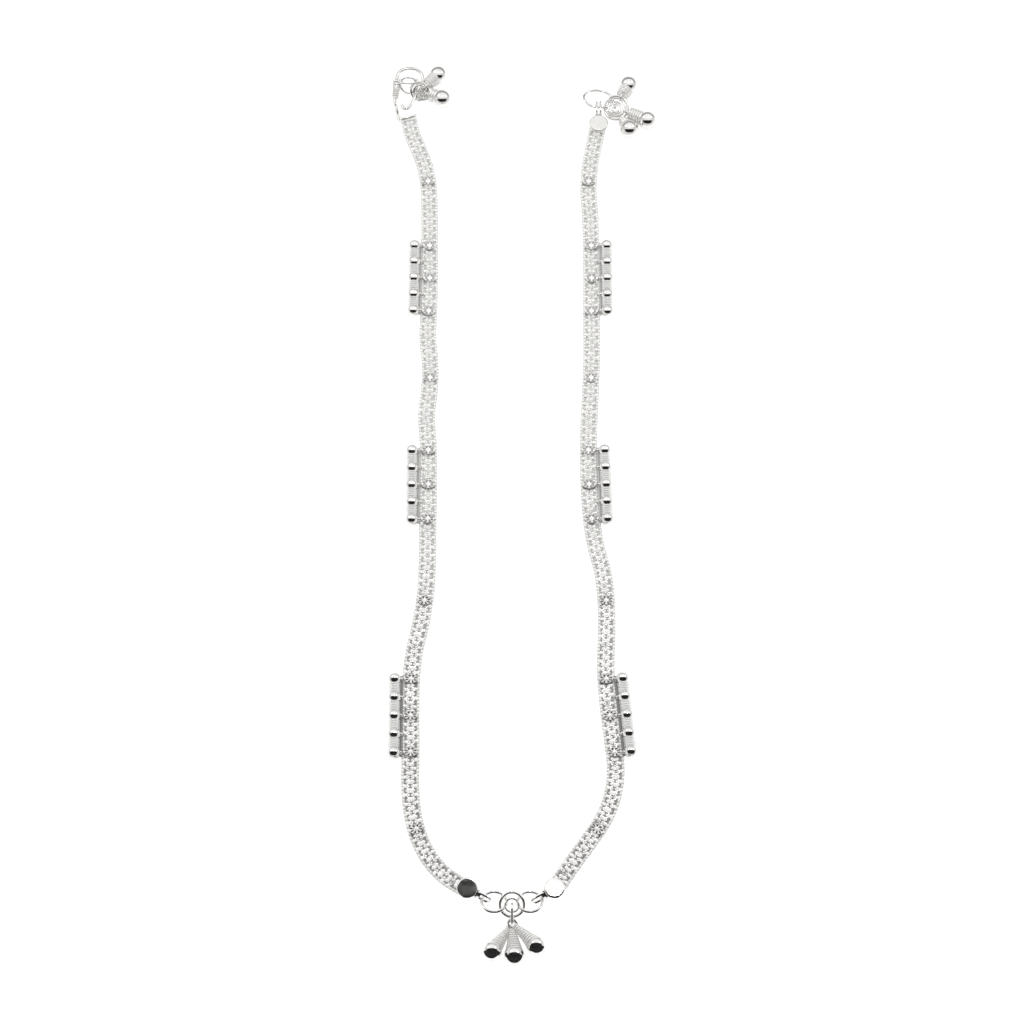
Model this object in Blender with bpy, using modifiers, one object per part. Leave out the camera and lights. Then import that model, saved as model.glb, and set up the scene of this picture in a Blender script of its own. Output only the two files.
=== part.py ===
"""A payal anklet of bright silver, laid open in a U on a flat surface.

Two flat chain bands run side by side and meet at the near end in a group of
three wire rings that carries three bells. Strips of five small bells line the
outer edges of the bands. At the far end the left band ends in an open wire
hook and the right band in an oval ring, each with bells on jump rings.

X is to the right, Y away along the bands, Z up. Lengths in the tables below
are millimetres on the surface that the anklet lies on.
"""

import math

import bmesh
import bpy
from mathutils import Matrix, Vector

MM = 0.001
UP = Vector((0, 0, 1))
SHARP_ANGLE = 40  # edges that turn more than this stay sharp, in degrees
WELD_DISTANCE = 0.002
ROUTE_STEPS = 20  # steps of the smooth curve between two points of a route

# Flat chain band: its section, and the middle line of each half
BAND_SECTION = [(1.1, 0.0), (1.35, 0.25), (1.35, 0.75), (0.95, 1.1)]  # right half: x, z
BAND_POINT_SPACING = 4.2
LEFT_ROUTE = [
    (-16.2, 66.4), (-15.7, 63.9), (-14.7, 61.3), (-13.6, 58.0), (-13.0, 54.5), (-12.8, 50.0),
    (-12.7, 44.0), (-12.6, 38.0), (-12.7, 32.0), (-12.8, 28.5), (-12.4, 24.0), (-12.4, 20.0),
    (-12.8, 15.5), (-12.5, 10.5), (-12.4, 5.0), (-12.4, -1.5), (-12.4, -8.0), (-12.6, -13.0),
    (-13.2, -17.5), (-14.1, -22.0), (-14.5, -26.5), (-14.5, -32.0), (-14.4, -37.5),
    (-14.4, -42.0), (-13.9, -46.5), (-12.6, -50.6), (-10.5, -53.8), (-8.4, -55.6), (-6.0, -57.0),
]
RIGHT_ROUTE = [
    (13.6, 65.6), (12.9, 62.0), (12.2, 58.0), (11.9, 54.0), (12.1, 49.5), (12.2, 44.0),
    (12.2, 38.0), (12.1, 32.0), (12.1, 26.5), (11.9, 21.0), (11.6, 15.5), (11.4, 10.5),
    (11.4, 5.0), (11.7, -1.0), (12.3, -5.5), (13.3, -9.8), (13.7, -14.0), (13.7, -19.5),
    (13.5, -24.5), (13.8, -30.0), (14.4, -35.5), (14.7, -40.0), (14.2, -43.5), (12.9, -46.8),
    (10.8, -50.0), (8.5, -53.2), (6.1, -56.7),
]

# Strips of five small bells on a bar: the centres of the first and the last bell
SMALL_BELL_RADIUS = 1.0
SMALL_BELL_COUNT = 5
SMALL_BELL_SIDES = 8
SMALL_BELL_ARC_POINTS = 5
BAR_RADIUS = 0.35
BELL_ROWS = {
    "bell_row_left_top": ((-15.03, 43.8), (-15.05, 32.7)),
    "bell_row_left_middle": ((-14.92, 9.4), (-14.8, -1.6)),
    "bell_row_left_bottom": ((-16.88, -26.3), (-16.83, -37.3)),
    "bell_row_right_top": ((14.6, 43.8), (14.54, 32.6)),
    "bell_row_right_middle": ((13.82, 9.5), (14.08, -1.5)),
    "bell_row_right_bottom": ((15.92, -26.2), (16.9, -37.1)),
}

# Round end plates with a stem under them and wire bails; heading is the way the bails point,
# in degrees from +X, and the bails stand side by side, each leaning about the heading
PLATE_RADIUS = 1.5
PLATE_THICKNESS = 0.4
PLATE_BASE = 1.3
PLATE_SIDES = 20
STEM_HALF_WIDTH = 0.6
STEM_Y = (0.75, 1.7)
STEM_Z = (0.45, 1.5)
BAIL_START = 1.6
BAIL_SQUARENESS = 2.6  # power of the oval: 2 is an ellipse, more has squarer corners
END_PLATES = {
    "cap_left_centre": dict(centre=(-6.23, -56.9), heading=-27.7, bails=(0.0,), wire=0.4,
                            lean=-21, reach=3.6, height=0.78, half_height=0.6),
    "cap_right_centre": dict(centre=(5.9, -56.95), heading=210.1, bails=(0.0,), wire=0.4,
                             lean=21, reach=3.6, height=0.78, half_height=0.6),
    "cap_right_end": dict(centre=(13.6, 65.2), heading=90, bails=(-0.3, 0.3), wire=0.35,
                          lean=0, reach=3.75, height=1.62, half_height=0.65),
}

# Wire rings: centre, half lengths of the middle line, way of the tilt axis, tilt
RING_WIRE = 0.45
RINGS = {
    "ring_left_centre": dict(centre=(-2.5, -58.8, 1.05), half=(1.72, 1.72), axis=0, tilt=-24),
    "centre_ring": dict(centre=(0.0, -59.2, 1.1), half=(1.67, 1.67), axis=0, tilt=12),
    "ring_right_centre": dict(centre=(2.5, -58.8, 1.05), half=(1.72, 1.72), axis=0, tilt=-24),
    "clasp_ring": dict(centre=(13.6, 69.75, 1.25), half=(2.3, 1.8), axis=-33, tilt=-14),
    "jump_rings_right": dict(centre=(16.4, 68.25, 1.1), half=(1.87, 1.87), axis=-33, tilt=23),
    "jump_ring_left": dict(centre=(-14.6, 71.15, 1.3), half=(1.42, 1.42), axis=-23, tilt=46),
}

# Upright link of the centre drops, with the small ring soldered over it
LINK_WIRE = 0.4
LINK_SQUARENESS = 4
LINK_SIDES = 20
LINK_Y = (-61.85, -59.15)
LINK_Z = (0.2, 2.1)
SMALL_RING_WIRE = 0.3
SMALL_RING = (0.0, -59.5, 2.05)
SMALL_RING_RADIUS = 0.95

# Hook: middle line of its wire, from inside the sleeve round to the free tip
HOOK_WIRE = 0.6
HOOK_HEIGHT = 0.95
HOOK_POINT_SPACING = 0.9
HOOK_ROUTE = [
    (-18.3, 71.1), (-18.3, 72.2), (-18.3, 73.4), (-17.8, 74.9), (-16.3, 75.5), (-14.7, 75.0),
    (-14.1, 73.6), (-14.3, 72.2), (-15.0, 70.9), (-15.6, 69.6), (-16.1, 68.6), (-16.9, 68.2),
    (-17.4, 68.8),
]

# Left end plate: it stands on edge beside the end of the band, with a tab soldered across the
# end of the band and a neck to the sleeve that turns on the hook
EDGE_PLATE = dict(centre=(-18.13, 67.3), heading=105)
TAB_X = (0.0, 3.0)
TAB_Y = (-1.12, -0.82)
TAB_Z = (0.1, 1.0)
NECK_WIRE = 0.56
NECK = [(-18.46, 68.5, 1.5), (-18.3, 71.7, 1.62)]
SLEEVE_CENTRE = (-18.3, 72.25)
SLEEVE_LENGTH = 1.9
SLEEVE_RADII = (0.43, 0.68)
SLEEVE_SIDES = 12

# Larger bells: ball radius and centre, and the place on the link or ring they hang on
DROP_WIRE = 0.3
DROP_SIDES = 12
DROP_ARC_POINTS = 7
LOOP_SIDES = 12
LOOP_HALF_WIDTH = 0.52
LOOP_CLEARANCE = 0.17
COLLAR_RADII = (0.42, 1.0)
COLLAR_LENGTH = 0.5
CENTRE_DROPS = {
    "centre_drop_left": dict(radius=1.4, ball=(-2.78, -65.75), link_height=0.74),
    "centre_drop_middle": dict(radius=1.45, ball=(0.33, -66.35), link_height=1.15),
    "centre_drop_right": dict(radius=1.4, ball=(3.34, -65.0), link_height=1.58),
}
CLASP_DROPS = {
    "clasp_drop_right_upper": dict(radius=1.5, ball=(18.4, 72.1), ring="jump_rings_right", turn=62),
    "clasp_drop_right_outer": dict(radius=1.5, ball=(21.25, 65.7), ring="jump_rings_right", turn=-27),
    "clasp_drop_right_lower": dict(radius=1.5, ball=(18.4, 64.1), ring="jump_rings_right", turn=-68),
    "clasp_drop_left_upper": dict(radius=1.5, ball=(-11.7, 73.95), ring="jump_ring_left", turn=35),
    "clasp_drop_left_lower": dict(radius=1.5, ball=(-11.0, 69.6), ring="jump_ring_left", turn=-16),
}


def clear_scene():
    for item in list(bpy.data.objects):
        bpy.data.objects.remove(item)


def new_collection(name):
    collection = bpy.data.collections.new(name)
    bpy.context.scene.collection.children.link(collection)
    return collection


def silver(name, roughness):
    material = bpy.data.materials.new(name)
    material.use_nodes = True
    shader = material.node_tree.nodes["Principled BSDF"]
    shader.inputs["Base Color"].default_value = (0.93, 0.92, 0.91, 1)
    shader.inputs["Metallic"].default_value = 1.0
    shader.inputs["Roughness"].default_value = roughness
    return material


def add_object(name, data, matrix=Matrix.Identity(4)):
    """An object in the anklet's collection, riding on its origin; the matrix is in millimetres."""
    item = bpy.data.objects.new(name, data)
    anklet.objects.link(item)
    item.parent = origin
    matrix = matrix.copy()
    matrix.translation *= MM
    item.matrix_basis = matrix
    return item


def finish(item, material):
    item.data.materials.clear()
    item.data.materials.append(material)
    item.data.shade_smooth()
    item.data.set_sharp_from_angle(angle=math.radians(SHARP_ANGLE))


def unite(base, others):
    """Boolean union of the base with the other shapes, which become hidden tools."""
    for other in others:
        union = base.modifiers.new("solder", "BOOLEAN")
        union.operation = "UNION"
        union.solver = "EXACT"
        union.object = other
        anklet.objects.unlink(other)
        cutters.objects.link(other)
        other.hide_render = True
        other.display_type = "WIRE"


def smooth_route(points, spacing):
    """Points about every `spacing` on a smooth curve that passes through the given points."""
    points = [Vector(point) for point in points]
    padded = [2 * points[0] - points[1], *points, 2 * points[-1] - points[-2]]
    fine = []
    for p0, p1, p2, p3 in zip(padded, padded[1:], padded[2:], padded[3:]):
        for step in range(ROUTE_STEPS):
            t = step / ROUTE_STEPS
            bend = 2 * p0 - 5 * p1 + 4 * p2 - p3
            swing = 3 * (p1 - p2) + p3 - p0
            fine.append(p1 + 0.5 * t * (p2 - p0 + t * (bend + t * swing)))
    fine.append(points[-1])
    lengths = [0.0]
    for before, after in zip(fine, fine[1:]):
        lengths.append(lengths[-1] + (after - before).length)
    count = round(lengths[-1] / spacing)
    chosen = []
    place = 0
    for number in range(count + 1):
        wanted = lengths[-1] * number / count
        while place < len(fine) - 2 and lengths[place + 1] < wanted:
            place += 1
        part = (wanted - lengths[place]) / (lengths[place + 1] - lengths[place])
        chosen.append(fine[place].lerp(fine[place + 1], part))
    return chosen


def poly_curve(name, points, cyclic=False):
    curve = bpy.data.curves.new(name, "CURVE")
    curve.dimensions = "3D"
    curve.render_resolution_u = 0
    spline = curve.splines.new("POLY")
    spline.points.add(len(points) - 1)
    for knot, point in zip(spline.points, points):
        knot.co = (*(Vector(point) * MM), 1)
    spline.use_cyclic_u = cyclic
    return curve


def curve_to_mesh(name, curve):
    """The curve's surface as one welded mesh."""
    item = bpy.data.objects.new(name, curve)
    bpy.context.scene.collection.objects.link(item)
    graph = bpy.context.evaluated_depsgraph_get()
    mesh = bpy.data.meshes.new_from_object(item.evaluated_get(graph))
    bpy.data.objects.remove(item)
    shape = bmesh.new()
    shape.from_mesh(mesh)
    bmesh.ops.remove_doubles(shape, verts=shape.verts, dist=WELD_DISTANCE * MM)
    bmesh.ops.recalc_face_normals(shape, faces=shape.faces)
    shape.to_mesh(mesh)
    shape.free()
    return mesh


def wire(name, points, thickness, cyclic=False):
    curve = poly_curve(name, points, cyclic)
    curve.bevel_depth = thickness / 2 * MM
    curve.bevel_resolution = 1
    curve.use_fill_caps = not cyclic
    return curve_to_mesh(name, curve)


def loop_points(half_x, half_y, sides=16, power=2.0):
    """A closed oval in the XY plane; a power over 2 squares its corners."""
    points = []
    for side in range(sides):
        angle = 2 * math.pi * side / sides
        c, s = math.cos(angle), math.sin(angle)
        x = half_x * math.copysign(abs(c) ** (2 / power), c)
        y = half_y * math.copysign(abs(s) ** (2 / power), s)
        points.append((x, y, 0))
    return points


def box_mesh(name, x, y, z):
    """A box between the low and high millimetre values of each pair."""
    shape = bmesh.new()
    bmesh.ops.create_cube(shape, size=1.0)
    for vert in shape.verts:
        for axis, (low, high) in enumerate((x, y, z)):
            vert.co[axis] = (low + high) / 2 * MM + vert.co[axis] * (high - low) * MM
    return bmesh_to_mesh(name, shape)


def plate_mesh(name):
    shape = bmesh.new()
    bmesh.ops.create_cone(shape, cap_ends=True, segments=PLATE_SIDES, radius1=PLATE_RADIUS * MM,
                          radius2=PLATE_RADIUS * MM, depth=PLATE_THICKNESS * MM)
    return bmesh_to_mesh(name, shape)


def bmesh_to_mesh(name, shape):
    mesh = bpy.data.meshes.new(name)
    shape.to_mesh(mesh)
    shape.free()
    return mesh


def turned(name, profile, steps, matrix, closed=False):
    """A shape turned about its Z axis from a profile of (radius, height), top to bottom."""
    mesh = bpy.data.meshes.new(name)
    edges = [(number, number + 1) for number in range(len(profile) - 1)]
    if closed:
        edges.append((len(profile) - 1, 0))
    mesh.from_pydata([(radius * MM, 0, height * MM) for radius, height in profile], edges, [])
    item = add_object(name, mesh, matrix)
    screw = item.modifiers.new("turn", "SCREW")
    screw.steps = steps
    screw.render_steps = steps
    screw.use_merge_vertices = True
    screw.merge_threshold = WELD_DISTANCE * MM
    screw.use_smooth_shade = True
    return item


def arc(radius, centre, start, end, count):
    """Profile points on a ball, between two angles from its top, in degrees."""
    points = []
    for number in range(count):
        angle = math.radians(start + (end - start) * number / (count - 1))
        points.append((radius * math.sin(angle), centre + radius * math.cos(angle)))
    return points


def frame_along(place, z_axis, y_axis):
    """A frame at a place with its Z axis given and its Y axis as near as possible to another."""
    z_axis = z_axis.normalized()
    y_axis = (y_axis - y_axis.dot(z_axis) * z_axis).normalized()
    x_axis = y_axis.cross(z_axis)
    turn = Matrix((x_axis, y_axis, z_axis)).transposed().to_4x4()
    return Matrix.Translation(place) @ turn


def turn_about(axis, degrees):
    return Matrix.Rotation(math.radians(degrees), 4, axis)


def flat_band(name, route):
    """A ribbon with a flat underside along the route."""
    right = [(x, z, 0) for x, z in BAND_SECTION]
    left = [(-x, z, 0) for x, z in reversed(BAND_SECTION)]
    section = bpy.data.objects.new("section", poly_curve("section", right + left, cyclic=True))
    bpy.context.scene.collection.objects.link(section)
    points = [(x, y, 0) for x, y in smooth_route(route, BAND_POINT_SPACING)]
    curve = poly_curve(name, points)
    curve.bevel_mode = "OBJECT"
    curve.bevel_object = section
    curve.twist_mode = "Z_UP"
    curve.use_fill_caps = True
    band = add_object(name, curve_to_mesh(name, curve))
    bpy.data.objects.remove(section)
    finish(band, chain_silver)


def bell_row(name, first, last):
    """Five small bells on a bar, turned in one piece about the bar."""
    first = Vector((*first, SMALL_BELL_RADIUS))
    last = Vector((*last, SMALL_BELL_RADIUS))
    pitch = (last - first).length / (SMALL_BELL_COUNT - 1)
    waist = math.degrees(math.asin(BAR_RADIUS / SMALL_BELL_RADIUS))
    profile = []
    for number in range(SMALL_BELL_COUNT):
        start = 0 if number == 0 else waist
        end = 180 if number == SMALL_BELL_COUNT - 1 else 180 - waist
        profile += arc(SMALL_BELL_RADIUS, -pitch * number, start, end, SMALL_BELL_ARC_POINTS)
    row = turned(name, profile, SMALL_BELL_SIDES, frame_along(first, first - last, UP))
    finish(row, bright_silver)


def ring_frame(name):
    """The frame of a wire ring, tilted about a level axis through its centre."""
    ring = RINGS[name]
    to_axis = turn_about("Z", ring["axis"])
    tilt = to_axis @ turn_about("X", ring["tilt"]) @ to_axis.inverted()
    return Matrix.Translation(ring["centre"]) @ tilt


def wire_ring(name):
    mesh = wire(name, loop_points(*RINGS[name]["half"]), RING_WIRE, cyclic=True)
    finish(add_object(name, mesh, ring_frame(name)), bright_silver)


def ring_place(name, turn):
    """A place on a ring's wire and the way the wire runs there."""
    angle = math.radians(turn)
    half_x, half_y = RINGS[name]["half"]
    frame = ring_frame(name)
    place = frame @ Vector((half_x * math.cos(angle), half_y * math.sin(angle), 0))
    way = frame.to_3x3() @ Vector((-half_x * math.sin(angle), half_y * math.cos(angle), 0))
    return place, way


def end_plate(name, centre, heading, bails, wire_size, lean, reach, height, half_height):
    """A round plate over the end of the band, with a stem below it and bails ahead of it."""
    frame = Matrix.Translation((*centre, 0)) @ turn_about("Z", heading - 90)
    middle = Matrix.Translation((0, 0, PLATE_BASE + PLATE_THICKNESS / 2))
    plate = add_object(name, plate_mesh(name), frame @ middle)
    stem_x = (-STEM_HALF_WIDTH, STEM_HALF_WIDTH)
    shapes = [add_object(name + "_stem", box_mesh(name, stem_x, STEM_Y, STEM_Z), frame)]
    half_length = (reach - BAIL_START) / 2
    for across in bails:
        middle = Matrix.Translation((across, BAIL_START + half_length, height))
        upright = middle @ turn_about("Y", lean) @ turn_about("Y", 90) @ turn_about("Z", 90)
        outline = loop_points(half_length, half_height, power=BAIL_SQUARENESS)
        mesh = wire(name, outline, wire_size, cyclic=True)
        shapes.append(add_object(name + "_bail", mesh, frame @ upright))
    unite(plate, shapes)
    finish(plate, bright_silver)


def edge_plate():
    """The left end plate on edge, with its tab, its neck and the sleeve on the hook."""
    name = "cap_left_end"
    frame = Matrix.Translation((*EDGE_PLATE["centre"], 0)) @ turn_about("Z", EDGE_PLATE["heading"] - 90)
    on_edge = Matrix.Translation((0, 0, PLATE_RADIUS)) @ turn_about("Y", 90)
    plate = add_object(name, plate_mesh(name), frame @ on_edge)
    tab = add_object(name + "_tab", box_mesh(name, TAB_X, TAB_Y, TAB_Z), frame)
    neck = add_object(name + "_neck", wire(name, NECK, NECK_WIRE))
    inner, outer = SLEEVE_RADII
    half = SLEEVE_LENGTH / 2
    profile = [(outer, half), (outer, -half), (inner, -half), (inner, half)]
    along_hook = frame_along(Vector((*SLEEVE_CENTRE, HOOK_HEIGHT)), Vector((0, 1, 0)), UP)
    sleeve = turned(name + "_sleeve", profile, SLEEVE_SIDES, along_hook, closed=True)
    unite(plate, [tab, neck, sleeve])
    finish(plate, bright_silver)


def drop_link():
    """An upright link round the centre ring, with the small ring soldered on its top run."""
    name = "drop_link"
    middle = Vector((0, sum(LINK_Y) / 2, sum(LINK_Z) / 2))
    half_length = (LINK_Y[1] - LINK_Y[0]) / 2
    half_height = (LINK_Z[1] - LINK_Z[0]) / 2
    upright = Matrix.Translation(middle) @ turn_about("Y", 90) @ turn_about("Z", 90)
    outline = loop_points(half_length, half_height, LINK_SIDES, LINK_SQUARENESS)
    link = add_object(name, wire(name, outline, LINK_WIRE, cyclic=True), upright)
    circle = loop_points(SMALL_RING_RADIUS, SMALL_RING_RADIUS)
    small = wire(name, circle, SMALL_RING_WIRE, cyclic=True)
    unite(link, [add_object(name + "_ring", small, Matrix.Translation(SMALL_RING))])
    finish(link, bright_silver)


def hook():
    points = [(*point, HOOK_HEIGHT) for point in smooth_route(HOOK_ROUTE, HOOK_POINT_SPACING)]
    finish(add_object("clasp_hook", wire("clasp_hook", points, HOOK_WIRE)), bright_silver)


def bell_drop(name, radius, ball, hang, wire_way, hung_wire):
    """A ball with a collar and a wire loop that passes round the wire it hangs on."""
    ball = Vector((*ball, radius))
    reach = (hang - ball).length
    frame = frame_along(ball, hang - ball, wire_way)
    top, foot = COLLAR_RADII
    foot_angle = math.degrees(math.asin(foot / radius))
    neck = radius + COLLAR_LENGTH
    profile = [(0, neck), (top, neck), *arc(radius, 0, foot_angle, 180, DROP_ARC_POINTS)]
    drop = turned(name, profile, DROP_SIDES, frame)
    start = neck - DROP_WIRE
    end = reach + hung_wire / 2 + LOOP_CLEARANCE + DROP_WIRE / 2
    outline = loop_points((end - start) / 2, LOOP_HALF_WIDTH, LOOP_SIDES, BAIL_SQUARENESS)
    flat = Matrix.Translation((0, 0, (start + end) / 2)) @ turn_about("Y", 90) @ turn_about("X", 90)
    loop = wire(name, outline, DROP_WIRE, cyclic=True)
    unite(drop, [add_object(name + "_loop", loop, frame @ flat)])
    finish(drop, bright_silver)


def stand_on_origin():
    """Moves the origin's riders so that their box stands centred on the world's origin."""
    bpy.context.view_layer.update()
    graph = bpy.context.evaluated_depsgraph_get()
    corners = []
    for item in anklet.objects:
        solid = item.evaluated_get(graph)
        if solid.type == "MESH":
            corners += [solid.matrix_world @ vert.co for vert in solid.data.vertices]
    low = [min(corner[axis] for corner in corners) for axis in range(3)]
    high = [max(corner[axis] for corner in corners) for axis in range(3)]
    origin.location = (-(low[0] + high[0]) / 2, -(low[1] + high[1]) / 2, -low[2])


clear_scene()
anklet = new_collection("payal_anklet")
cutters = new_collection("cutters")
origin = bpy.data.objects.new("anklet_origin", None)
anklet.objects.link(origin)
chain_silver = silver("chain_silver", 0.22)
bright_silver = silver("bright_silver", 0.08)

flat_band("band_left", LEFT_ROUTE)
flat_band("band_right", RIGHT_ROUTE)
for row_name, ends in BELL_ROWS.items():
    bell_row(row_name, *ends)
for ring_name in RINGS:
    wire_ring(ring_name)
for plate_name, plate in END_PLATES.items():
    end_plate(plate_name, plate["centre"], plate["heading"], plate["bails"], plate["wire"],
              plate["lean"], plate["reach"], plate["height"], plate["half_height"])
edge_plate()
drop_link()
hook()
for drop_name, drop in CENTRE_DROPS.items():
    link_place = Vector((0, LINK_Y[0], drop["link_height"]))
    bell_drop(drop_name, drop["radius"], drop["ball"], link_place, UP, LINK_WIRE)
for drop_name, drop in CLASP_DROPS.items():
    hang_place, hang_way = ring_place(drop["ring"], drop["turn"])
    bell_drop(drop_name, drop["radius"], drop["ball"], hang_place, hang_way, RING_WIRE)
stand_on_origin()
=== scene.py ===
# %% [markdown]
# # A silver payal, laid open
#
# A payal is an anklet of bright silver. This one lies open in a U: two flat
# chain bands meet in a group of wire rings with three bells, strips of small
# bells line the outer edges, and a hook and an oval ring close the far end.
# The solid model gives each piece its place. This script gives each piece its
# looks, one kind of piece at a time, from the chain to the light.

# %% Load the solid model
import math
import random

import bpy
from mathutils import Matrix, Vector


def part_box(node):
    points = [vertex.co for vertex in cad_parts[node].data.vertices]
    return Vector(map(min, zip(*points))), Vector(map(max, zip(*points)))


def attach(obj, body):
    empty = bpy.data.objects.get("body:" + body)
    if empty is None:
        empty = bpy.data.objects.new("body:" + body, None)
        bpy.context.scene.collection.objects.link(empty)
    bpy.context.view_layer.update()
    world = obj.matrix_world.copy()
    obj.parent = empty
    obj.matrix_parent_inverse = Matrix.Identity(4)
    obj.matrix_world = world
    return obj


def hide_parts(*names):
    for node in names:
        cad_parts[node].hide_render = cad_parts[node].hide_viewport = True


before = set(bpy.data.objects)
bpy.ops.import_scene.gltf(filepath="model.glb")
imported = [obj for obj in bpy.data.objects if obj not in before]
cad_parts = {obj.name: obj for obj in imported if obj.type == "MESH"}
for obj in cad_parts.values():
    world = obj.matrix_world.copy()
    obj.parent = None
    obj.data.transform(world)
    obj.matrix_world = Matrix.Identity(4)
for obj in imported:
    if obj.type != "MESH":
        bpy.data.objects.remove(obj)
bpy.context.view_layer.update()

print("solids:", len(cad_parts))

# %% [markdown]
# The layout is easiest to read in millimetres from the middle of the U, as a
# jeweller would mark it out. The middle ring of the centre group has a known
# place in that layout, so its box ties the layout to the solid model.

# %% The layout in millimetres
MM = 0.001
CENTRE_RING_PLACE = (0.0, -59.2, 1.1)
ring_low, ring_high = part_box("centre_ring")
SHIFT = (ring_low + ring_high) / 2 - Vector(CENTRE_RING_PLACE) * MM


def at(x, y, z=0.0):
    """A place in metres, from millimetres in the anklet's layout."""
    return Vector((x, y, z)) * MM + SHIFT


print("layout shift in mm:", [round(v / MM, 3) for v in SHIFT])

# %% [markdown]
# The camera looks down at a steep angle, as one looks at jewellery on a table.
# A long lens keeps the near and the far end almost the same size.

# %% Camera
CAMERA_ELEVATION = math.radians(68)
CAMERA_DISTANCE = 374.4
camera_back = CAMERA_DISTANCE * math.cos(CAMERA_ELEVATION)
camera_up = CAMERA_DISTANCE * math.sin(CAMERA_ELEVATION)
bpy.ops.object.camera_add(
    location=at(0, -camera_back, camera_up), rotation=(math.pi / 2 - CAMERA_ELEVATION, 0, 0)
)
camera = bpy.context.object
camera.name = "camera"
camera.data.lens = 89
camera.data.clip_start = 0.01
bpy.context.scene.camera = camera
print("camera stands", round(camera.location.z, 3), "m above the floor")

# %% [markdown]
# Every piece is modelled in the same few steps: nothing is selected, a
# primitive or a curve is added, it is shaped, its modifiers are applied, and
# its place is moved into its mesh. These helpers hold the steps that repeat.


# %% Steps that every piece shares
WELD_GAP = 0.001


def deselect():
    if bpy.context.object and bpy.context.object.mode != "OBJECT":
        bpy.ops.object.mode_set(mode="OBJECT")
    bpy.ops.object.select_all(action="DESELECT")


def pick(*pieces):
    """Selects these pieces alone, the last one active."""
    deselect()
    for piece in pieces:
        piece.select_set(True)
    bpy.context.view_layer.objects.active = pieces[-1]


def settle(piece):
    """Moves the piece's place, turn and size into its mesh."""
    pick(piece)
    bpy.ops.object.transform_apply(location=True, rotation=True, scale=True)
    return piece


def modify(piece, kind, **settings):
    """Adds a modifier, sets it and applies it."""
    modifier = piece.modifiers.new(kind.lower(), kind)
    for name, value in settings.items():
        setattr(modifier, name, value)
    pick(piece)
    bpy.ops.object.modifier_apply(modifier=modifier.name)
    return piece


def place(piece, matrix):
    """Turns and moves the piece's mesh by a matrix."""
    piece.data.transform(matrix)
    return piece


def joined(name, pieces):
    """One piece made of several."""
    pick(*pieces)
    if len(pieces) > 1:
        bpy.ops.object.join()
    whole = bpy.context.object
    whole.name = name
    whole.data.name = name
    return whole


def smooth(piece, angle=40):
    pick(piece)
    bpy.ops.object.shade_smooth_by_angle(angle=math.radians(angle))
    return piece


def weld(piece):
    """Merges points that lie together and turns the faces outwards."""
    pick(piece)
    bpy.ops.object.mode_set(mode="EDIT")
    bpy.ops.mesh.select_all(action="SELECT")
    bpy.ops.mesh.remove_doubles(threshold=WELD_GAP * MM)
    bpy.ops.mesh.normals_make_consistent(inside=False)
    bpy.ops.object.mode_set(mode="OBJECT")
    return piece


def choose_faces(piece, test):
    """Selects the faces that pass a test, and leaves the piece in edit mode."""
    pick(piece)
    bpy.ops.object.mode_set(mode="EDIT")
    bpy.ops.mesh.select_mode(type="FACE")
    bpy.ops.mesh.select_all(action="DESELECT")
    bpy.ops.object.mode_set(mode="OBJECT")
    for face in piece.data.polygons:
        face.select = test(face)
    bpy.ops.object.mode_set(mode="EDIT")


print("steps ready")

# %% [markdown]
# Silver wire is everywhere on a payal: rings, loops, bails, the hook. A wire is
# a Bezier curve through a few points with a round bevel. The curve is turned
# into a mesh once its thickness is right.


# %% Wire
def wire_curve(name, points, thickness, closed=False, roundness=2):
    """A Bezier wire through points in metres."""
    curve = bpy.data.curves.new(name, "CURVE")
    curve.dimensions = "3D"
    curve.resolution_u = 6
    curve.render_resolution_u = 0
    curve.bevel_depth = thickness / 2 * MM
    curve.bevel_resolution = roundness
    curve.use_fill_caps = not closed
    spline = curve.splines.new("BEZIER")
    spline.bezier_points.add(len(points) - 1)
    for knot, point in zip(spline.bezier_points, points):
        knot.co = point
        knot.handle_left_type = "AUTO"
        knot.handle_right_type = "AUTO"
    spline.use_cyclic_u = closed
    piece = bpy.data.objects.new(name, curve)
    bpy.context.scene.collection.objects.link(piece)
    return piece


def wire(name, points, thickness, closed=False, roundness=2):
    piece = wire_curve(name, points, thickness, closed, roundness)
    pick(piece)
    bpy.ops.object.convert(target="MESH")
    return weld(bpy.context.object)


def oval(half_x, half_y, count=12, squareness=2.0, matrix=Matrix.Identity(4)):
    """Points round an oval in its own XY plane, in millimetres, placed by a matrix in metres."""
    points = []
    for number in range(count):
        angle = math.tau * number / count
        c, s = math.cos(angle), math.sin(angle)
        x = half_x * math.copysign(abs(c) ** (2 / squareness), c)
        y = half_y * math.copysign(abs(s) ** (2 / squareness), s)
        points.append(matrix @ (Vector((x, y, 0)) * MM))
    return points


def turn(axis, degrees):
    return Matrix.Rotation(math.radians(degrees), 4, axis)


print("wire ready")

# %% [markdown]
# A material is drawn as a tree of nodes. To keep it readable, the sums are
# written as Python sums: the class below wraps a socket, and each sign adds
# the Math node that does it. Every other node comes from one method, which
# takes its type, its settings and what feeds its sockets.


# %% Shader sums
class Value:
    """A number that varies over a surface, held as a node socket."""

    def __init__(self, nodes, socket):
        self.nodes = nodes
        self.socket = socket

    def sum(self, operation, *others):
        sockets = dict(enumerate((self, *others)))
        return self.nodes.value("ShaderNodeMath", {"operation": operation}, sockets)

    def __add__(self, other):
        return self.sum("ADD", other)

    def __mul__(self, other):
        return self.sum("MULTIPLY", other)

    __radd__ = __add__
    __rmul__ = __mul__


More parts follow.
